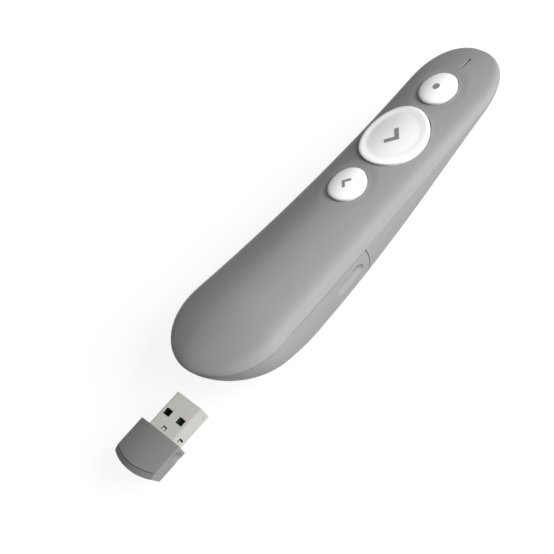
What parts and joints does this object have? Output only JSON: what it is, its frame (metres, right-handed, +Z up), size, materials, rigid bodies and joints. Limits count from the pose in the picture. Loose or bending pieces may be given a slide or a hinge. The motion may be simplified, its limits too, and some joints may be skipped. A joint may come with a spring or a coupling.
{
  "type": "presentation clicker",
  "caption": "Boat-shaped handheld presentation remote with round push keys on its crown, a laser in its nose, a lift-off battery door and a plug-in radio receiver that docks in its tail.",
  "frame": {"origin": "the small flat under the belly on which the handset rests on a table", "axes": "+Y forward from the tail to the nose, +X to the right, +Z up out of the keys' side"},
  "size_m": [0.0394, 0.1605, 0.0249],
  "materials": {
    "upper_shell": "fine soft matt texture",
    "lower_shell": "fine soft matt texture",
    "white_key": "satin gloss",
    "print_grey": "flat printed grey",
    "print_dark": "flat printed near black",
    "black_plastic": "plain moulded black",
    "switch_body": "plain moulded dark grey",
    "circuit_board": "green solder resist",
    "brass": "turned",
    "clear_lens": "polished",
    "dark_window": "polished dark red",
    "cell_steel": "plated",
    "cell_can": "plated",
    "cell_jacket": "printed film",
    "spring_steel": "nickel plated",
    "screw_steel": "zinc plated",
    "chip_black": "moulded epoxy",
    "receiver_shell": "fine matt texture",
    "plug_steel": "satin nickel",
    "gold_plate": "gold plated"
  },
  "bodies": {
    "handset": {"back_switch": "switch_body", "battery_cradle": "black_plastic", "beam_mark": "print_dark", "capacitor": "cell_steel", "cell_can": "cell_can", "cell_jacket": "cell_jacket", "contact_spring": "spring_steel", "crystal": "cell_steel", "door_screw_left": "screw_steel", "door_screw_right": "screw_steel", "front_contact": "spring_steel", "front_lower_housing": "lower_shell", "front_screw_left": "screw_steel", "front_screw_right": "screw_steel", "laser_board": "circuit_board", "laser_lens": "clear_lens", "laser_module": "brass", "laser_switch": "switch_body", "laser_window": "dark_window", "main_board": "circuit_board", "mid_screw_left": "screw_steel", "mid_screw_right": "screw_steel", "next_switch": "switch_body", "radio_chip": "chip_black", "rear_contact": "spring_steel", "rear_screw_left": "screw_steel", "rear_screw_right": "screw_steel", "upper_housing": "upper_shell"},
    "battery_door": {"battery_door": "lower_shell"},
    "receiver": {"receiver_body": "receiver_shell", "plug_shell": "plug_steel", "plug_tongue": "black_plastic", "receiver_board": "circuit_board", "receiver_chip": "chip_black", "contact_finger_1": "gold_plate", "contact_finger_2": "gold_plate", "contact_finger_3": "gold_plate", "contact_finger_4": "gold_plate"},
    "back_key_body": {"back_key": "white_key", "back_symbol": "print_grey", "back_plunger": "black_plastic"},
    "next_key_body": {"next_key": "white_key", "next_symbol": "print_grey", "next_plunger": "black_plastic"},
    "laser_key_body": {"laser_key": "white_key", "laser_symbol": "print_grey", "laser_plunger": "black_plastic"}
  },
  "joints": [
    {"name": "back_key_press", "type": "slide", "parent": "handset", "child": "back_key_body", "axis": [0, 0, -1], "range_m": [0, 0.00035], "stiffness_N_per_m": 900},
    {"name": "next_key_press", "type": "slide", "parent": "handset", "child": "next_key_body", "axis": [0, 0, -1], "range_m": [0, 0.00035], "stiffness_N_per_m": 900},
    {"name": "laser_key_press", "type": "slide", "parent": "handset", "child": "laser_key_body", "axis": [0, 0, -1], "range_m": [0, 0.00035], "stiffness_N_per_m": 900},
    {"name": "door_slide_off", "type": "slide", "parent": "handset", "child": "battery_door", "axis": [0, -0.866, -0.5], "range_m": [0, 0.035]},
    {"name": "receiver_docking", "type": "slide", "parent": "battery_door", "child": "receiver", "axis": [0, 1, 0], "range_m": [0, 0.037]}
  ]
}
